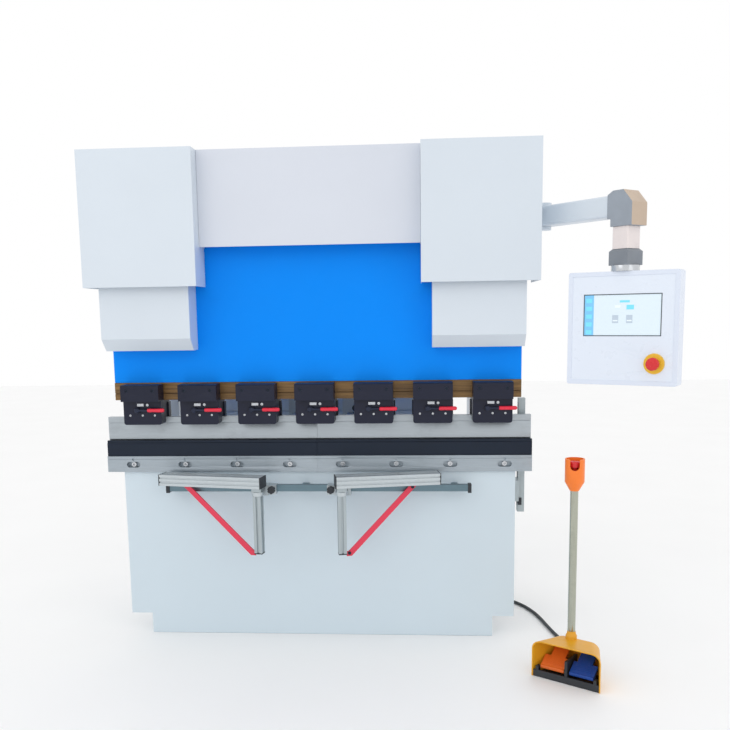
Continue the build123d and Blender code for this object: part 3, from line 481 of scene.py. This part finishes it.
def panel_graphics():
    """Generic user interface: side column, a few plain icons, bezel and stop ring."""
    panel_tile("ui_column", M["ui_blue"], -125, -94, -22, 110)
    for k, z in enumerate((92, 66, 40, 14, -12)):
        panel_tile(f"ui_key_{k}", M["ui_cyan"], -120, -100, z - 7, z + 7, 1.7)
    icons = ((-8, 85, 32, 7, "ui_cyan"), (14, 62, 24, 15, "ui_cyan"), (-32, 18, 20, 26, "ui_grey"),
             (14, 18, 20, 26, "ui_grey"), (-30, 24, 16, 4, "ui_pale"), (16, 24, 16, 4, "ui_pale"),
             (-24, 68, 18, 8, "ui_pale"))
    for k, (x, z, w, h, tone) in enumerate(icons):
        panel_tile(f"ui_icon_{k}", M[tone], x, x + w, z, z + h, 1.7 if tone != "ui_pale" else 1.4)
    for k, (x0, x1, z0, z1) in enumerate(((-128, -125, -25, 113), (124, 127, -25, 113), (-128, 127, 110, 113),
                                          (-128, 127, -25, -22))):
        panel_tile(f"bezel_{k}", M["bezel"], x0, x1, z0, z1, 1.2, 1.8)
    bm = bmesh.new()
    lathe(bm, [(0.0336, 0.0), (0.0338, 0.0012), (0.0328, 0.0032), (0.0180, 0.0044)],
          PANEL @ Matrix.Translation((0.108, 0.0006, -0.114)) @ Matrix.Rotation(math.radians(90), 4, "X"), 56)
    finish_mesh("stop_ring", bm, M["yellow"], "panel")


panel_graphics()


# ---------------------------------------------------------------- pedal details
PEDAL = Matrix.Translation((0.864, -0.442, 0.0)) @ Matrix.Rotation(math.radians(-33.8), 4, "Z")


def pedal_details():
    """Ribs on the treadles, collar at the pole's foot, tapered strain relief."""
    for side, x0, x1, mat in (("left", -90, -14, "orange"), ("right", 14, 90, "treadle")):
        bm = bmesh.new()
        for k in range(5):
            y = 20 + 5.5 * k
            z = 44 + (y - 14) * 0.667
            tilt = PEDAL @ Matrix.Translation((0, y * MM, z * MM)) @ Matrix.Rotation(math.radians(33.7), 4, "X")
            block(bm, ((x0 + 6) * MM, -0.0009, -0.002), ((x1 - 6) * MM, 0.0009, 0.0011), tilt)
        finish_mesh(f"treadle_ribs_{side}", bm, M[mat], f"treadle_{side}")
    bm = bmesh.new()
    lathe(bm, [(0.0192, 0.0), (0.0188, 0.005), (0.0160, 0.009), (0.0136, 0.020)],
          PEDAL @ Matrix.Translation((-0.020, 0.089, 0.133)), 40)
    finish_mesh("pole_collar", bm, M["hood"], "machine")
    bm = bmesh.new()
    sleeve = [(0.0098, -0.004), (0.0098, 0.004), (0.0092, 0.006), (0.0078, 0.022), (0.0070, 0.036), (0.0066, 0.040)]
    lathe(bm, sleeve, axis_matrix((0.8762, -0.2889, 0.026), (0.5563, 0.8310, 0.0)), 32)
    finish_mesh("strain_relief", bm, M["cord"], "machine")


pedal_details()


# ---------------------------------------------------------------- cord
def pedal_cord():
    """Rubber cord from the pedal to the cabinet, along the floor."""
    route = [
        (876.2, -288.9, 26.0), (914.0, -232.4, 26.0), (924.0, -150.0, 12.0), (912.0, -70.0, 6.5),
        (895.0, 0.0, 6.5), (882.0, 65.0, 6.5), (869.0, 140.0, 6.5), (852.0, 215.0, 6.5), (820.0, 296.0, 6.5),
        (780.0, 352.0, 6.5), (727.0, 388.0, 11.0), (688.0, 404.0, 62.0), (688.0, 404.0, 140.0),
    ]
    curve = bpy.data.curves.new("pedal_cord_line", "CURVE")
    curve.dimensions = "3D"
    curve.resolution_u = 16
    curve.bevel_depth = CORD_DIAMETER / 2
    curve.bevel_resolution = 5
    curve.use_fill_caps = True
    spline = curve.splines.new("NURBS")
    spline.points.add(len(route) - 1)
    for point, place in zip(spline.points, route):
        point.co = (*(MM * v for v in place), 1.0)
    spline.order_u = 3
    spline.use_endpoint_u = True
    curve.materials.append(M["cord"])
    cord = bpy.data.objects.new("pedal_cord_rubber", curve)
    bpy.context.scene.collection.objects.link(cord)
    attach(cord, "machine")
    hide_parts("pedal_cord")


pedal_cord()


# ---------------------------------------------------------------- stage
def camera():
    """Camera at standing height, a little right of the middle."""
    yaw, pitch, roll = (math.radians(v) for v in (4.12, 8.23, -0.88))
    forward = Vector((-math.sin(yaw) * math.cos(pitch), math.cos(yaw) * math.cos(pitch), -math.sin(pitch)))
    right = Vector((math.cos(yaw), math.sin(yaw), 0.0))
    up = right.cross(forward)
    turned_right = math.cos(roll) * right + math.sin(roll) * up
    turned_up = math.cos(roll) * up - math.sin(roll) * right
    data = bpy.data.cameras.new("camera")
    data.sensor_width = 36.0
    data.lens = 41.55
    data.shift_x = 0.0070
    data.shift_y = 0.0974
    eye = bpy.data.objects.new("camera", data)
    axes = Matrix((turned_right, turned_up, -forward)).transposed().to_4x4()
    eye.matrix_world = Matrix.Translation((0.38868, -3.1291, 1.2243)) @ axes
    bpy.context.scene.collection.objects.link(eye)
    bpy.context.scene.camera = eye


def area_light(name, place, target, size, power):
    """Soft rectangular light aimed at a point."""
    data = bpy.data.lights.new(name, "AREA")
    data.shape = "RECTANGLE"
    data.size, data.size_y = size
    data.energy = power
    lamp = bpy.data.objects.new(name, data)
    lamp.location = place
    lamp.rotation_euler = (Vector(target) - Vector(place)).to_track_quat("-Z", "Y").to_euler()
    bpy.context.scene.collection.objects.link(lamp)


def stage():
    """Pale floor, white surroundings, soft lights."""
    bm = bmesh.new()
    bmesh.ops.create_grid(bm, x_segments=1, y_segments=1, size=12.0)
    mesh = bpy.data.meshes.new("floor")
    bm.to_mesh(mesh)
    bm.free()
    mesh.materials.append(M["floor"])
    floor = bpy.data.objects.new("floor", mesh)
    floor.location.z = -0.0005
    bpy.context.scene.collection.objects.link(floor)
    world = bpy.data.worlds.new("studio")
    bpy.context.scene.world = world
    world.use_nodes = True
    back = world.node_tree.nodes["Background"]
    back.inputs["Color"].default_value = (1.0, 1.0, 1.0, 1.0)
    back.inputs["Strength"].default_value = 1.0
    area_light("key", (-2.2, -3.4, 3.2), (0.0, 0.0, 1.0), (2.6, 2.0), 12)
    area_light("fill", (2.8, -3.2, 2.2), (0.2, 0.0, 0.9), (2.2, 2.2), 6)
    bpy.context.scene.view_settings.view_transform = "Standard"


camera()
stage()
